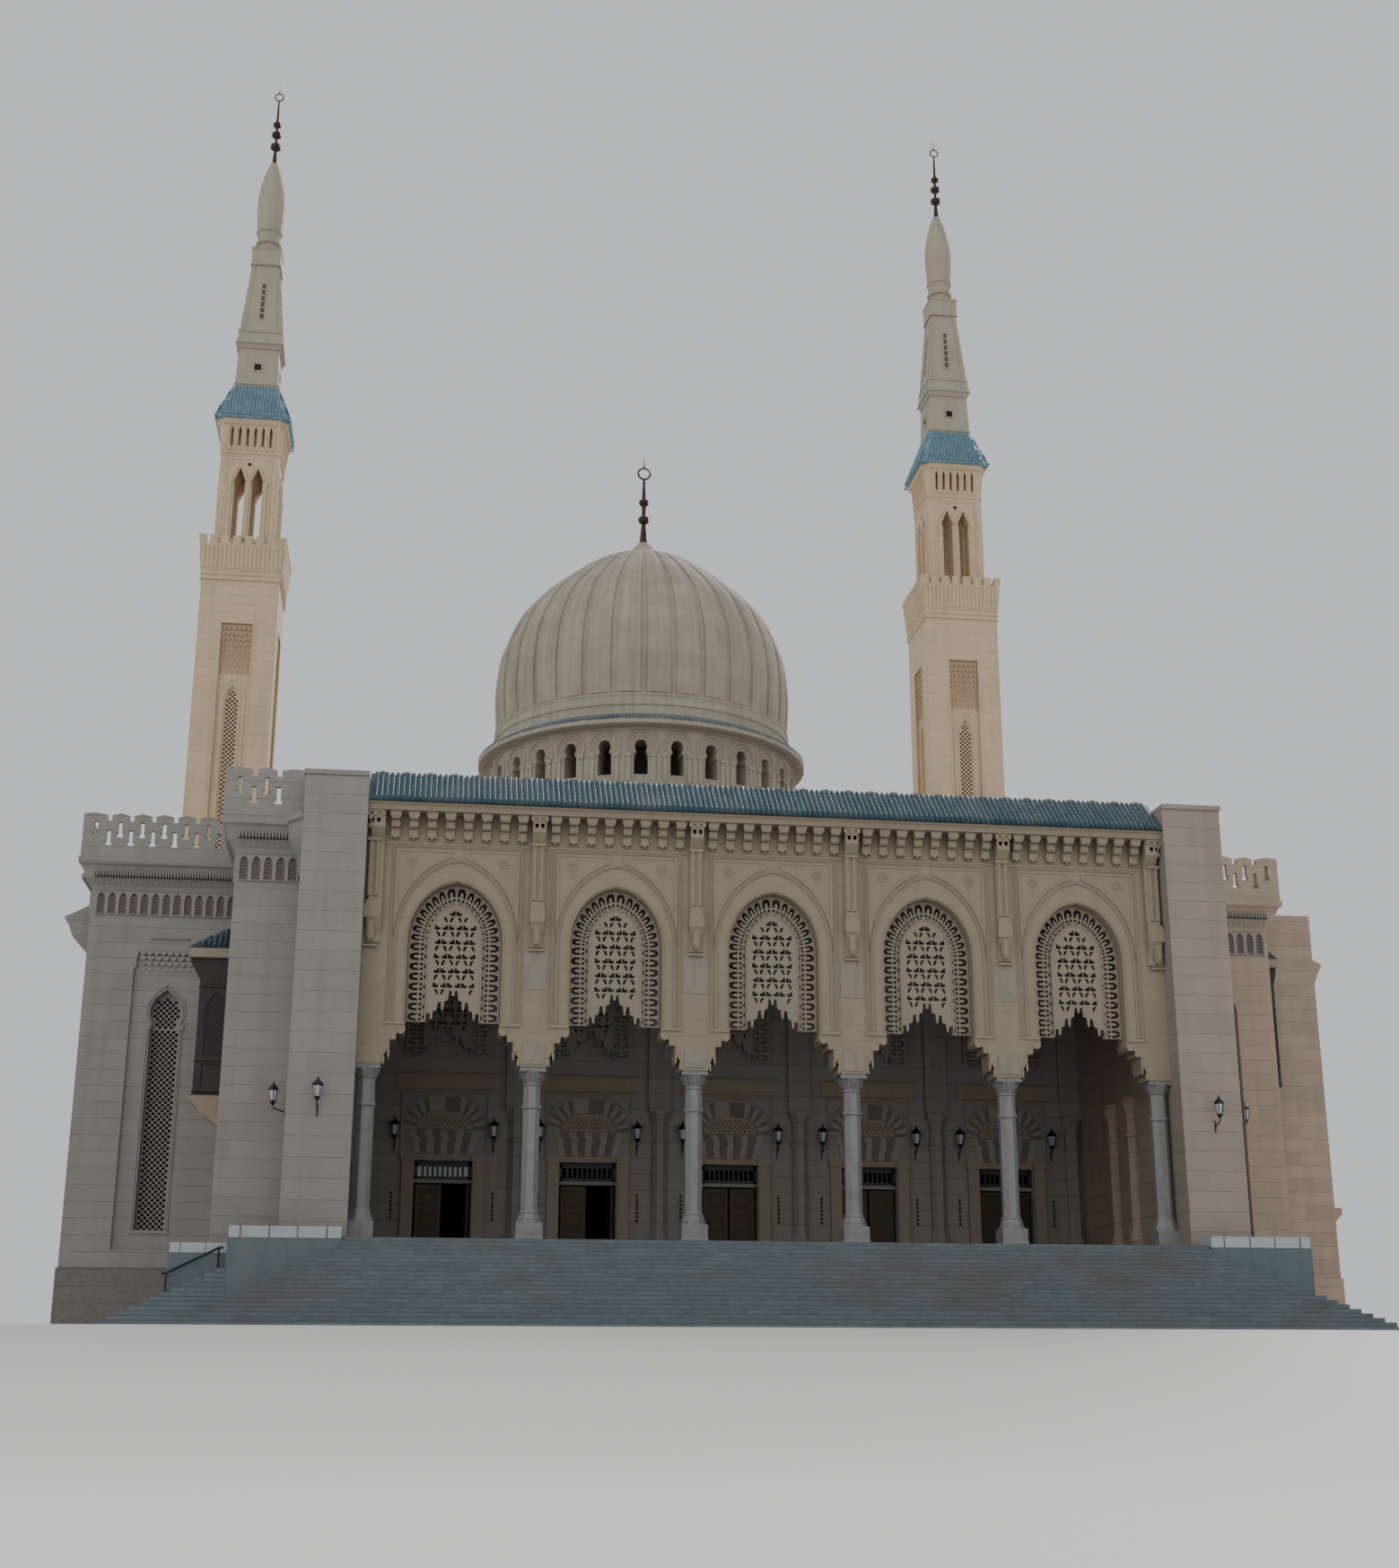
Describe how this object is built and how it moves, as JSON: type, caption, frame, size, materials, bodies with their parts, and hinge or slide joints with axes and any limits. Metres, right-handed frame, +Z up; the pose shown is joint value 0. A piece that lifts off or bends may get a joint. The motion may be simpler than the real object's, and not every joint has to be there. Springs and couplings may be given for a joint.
{
  "type": "scale model of a mosque at 1:10",
  "caption": "Hollow stone mosque, 1:10 scale: arcaded porch with hinged double doors, gored dome on a windowed drum, square minarets with tiled caps",
  "frame": {"origin": "on the ground, under the middle of the porch front, in the plane of the pylon faces", "axes": "+X right along the porch, +Y into the building, +Z up"},
  "size_m": [6.59, 8.8494, 10.78],
  "materials": {
    "limestone": "sawn ashlar, matt",
    "pale_stone": "smooth, matt",
    "grey_marble": "worn, honed",
    "glazed_tile": "glossy blue-green glaze",
    "dark_wood": "stained and oiled",
    "bronze": "dark patina"
  },
  "bodies": {
    "building": {"entrance_steps": "grey_marble", "porch_floor": "grey_marble", "planter_wall_left": "grey_marble", "planter_wall_right": "grey_marble", "left_side_steps": "grey_marble", "right_side_steps": "grey_marble", "left_pylon": "limestone", "right_pylon": "limestone", "column_1": "pale_stone", "column_2": "pale_stone", "column_3": "pale_stone", "column_4": "pale_stone", "column_5": "pale_stone", "column_6": "pale_stone", "arcade_wall": "limestone", "arch_screen_1": "pale_stone", "arch_screen_2": "pale_stone", "arch_screen_3": "pale_stone", "arch_screen_4": "pale_stone", "arch_screen_5": "pale_stone", "porch_tile_roof": "glazed_tile", "porch_roof": "limestone", "left_block": "limestone", "left_bay_window": "dark_wood", "right_block": "limestone", "right_bay_window": "dark_wood", "left_wing_front": "limestone", "right_wing_front": "limestone", "left_hall_wall": "limestone", "right_hall_wall": "limestone", "rear_hall_wall": "limestone", "hall_floor": "grey_marble", "hall_roof": "limestone", "roof_parapet": "limestone", "drum_base": "limestone", "porch_back_wall": "limestone", "dome_drum": "pale_stone", "dome": "pale_stone", "dome_finial": "bronze", "left_minaret_shaft": "limestone", "left_minaret_lantern": "limestone", "left_minaret_roof": "glazed_tile", "left_minaret_spire": "pale_stone", "left_minaret_finial": "bronze", "right_minaret_shaft": "limestone", "right_minaret_lantern": "limestone", "right_minaret_roof": "glazed_tile", "right_minaret_spire": "pale_stone", "right_minaret_finial": "bronze"},
    "door_1_left_leaf": {"door_1_left_leaf": "dark_wood"},
    "door_1_right_leaf": {"door_1_right_leaf": "dark_wood"},
    "door_2_left_leaf": {"door_2_left_leaf": "dark_wood"},
    "door_2_right_leaf": {"door_2_right_leaf": "dark_wood"},
    "door_3_left_leaf": {"door_3_left_leaf": "dark_wood"},
    "door_3_right_leaf": {"door_3_right_leaf": "dark_wood"},
    "door_4_left_leaf": {"door_4_left_leaf": "dark_wood"},
    "door_4_right_leaf": {"door_4_right_leaf": "dark_wood"},
    "door_5_left_leaf": {"door_5_left_leaf": "dark_wood"},
    "door_5_right_leaf": {"door_5_right_leaf": "dark_wood"}
  },
  "joints": [
    {"name": "door_1_left_hinge", "type": "hinge", "parent": "building", "child": "door_1_left_leaf", "pos_m": [-1.364, 1.285, 0.5], "axis": [0, 0, 1], "range_deg": [0, 86]},
    {"name": "door_1_right_hinge", "type": "hinge", "parent": "building", "child": "door_1_right_leaf", "pos_m": [-1.144, 1.285, 0.5], "axis": [0, 0, 1], "range_deg": [0, 86]},
    {"name": "door_2_left_hinge", "type": "hinge", "parent": "building", "child": "door_2_left_leaf", "pos_m": [-0.737, 1.285, 0.5], "axis": [0, 0, 1], "range_deg": [0, 86]},
    {"name": "door_2_right_hinge", "type": "hinge", "parent": "building", "child": "door_2_right_leaf", "pos_m": [-0.517, 1.285, 0.5], "axis": [0, 0, 1], "range_deg": [0, 86]},
    {"name": "door_3_left_hinge", "type": "hinge", "parent": "building", "child": "door_3_left_leaf", "pos_m": [-0.11, 1.285, 0.5], "axis": [0, 0, 1], "range_deg": [0, 86]},
    {"name": "door_3_right_hinge", "type": "hinge", "parent": "building", "child": "door_3_right_leaf", "pos_m": [0.11, 1.285, 0.5], "axis": [0, 0, 1], "range_deg": [-86, 0]},
    {"name": "door_4_left_hinge", "type": "hinge", "parent": "building", "child": "door_4_left_leaf", "pos_m": [0.517, 1.285, 0.5], "axis": [0, 0, 1], "range_deg": [0, 86]},
    {"name": "door_4_right_hinge", "type": "hinge", "parent": "building", "child": "door_4_right_leaf", "pos_m": [0.737, 1.285, 0.5], "axis": [0, 0, 1], "range_deg": [-86, 0]},
    {"name": "door_5_left_hinge", "type": "hinge", "parent": "building", "child": "door_5_left_leaf", "pos_m": [1.144, 1.285, 0.5], "axis": [0, 0, 1], "range_deg": [0, 86]},
    {"name": "door_5_right_hinge", "type": "hinge", "parent": "building", "child": "door_5_right_leaf", "pos_m": [1.364, 1.285, 0.5], "axis": [0, 0, 1], "range_deg": [-86, 0]}
  ]
}
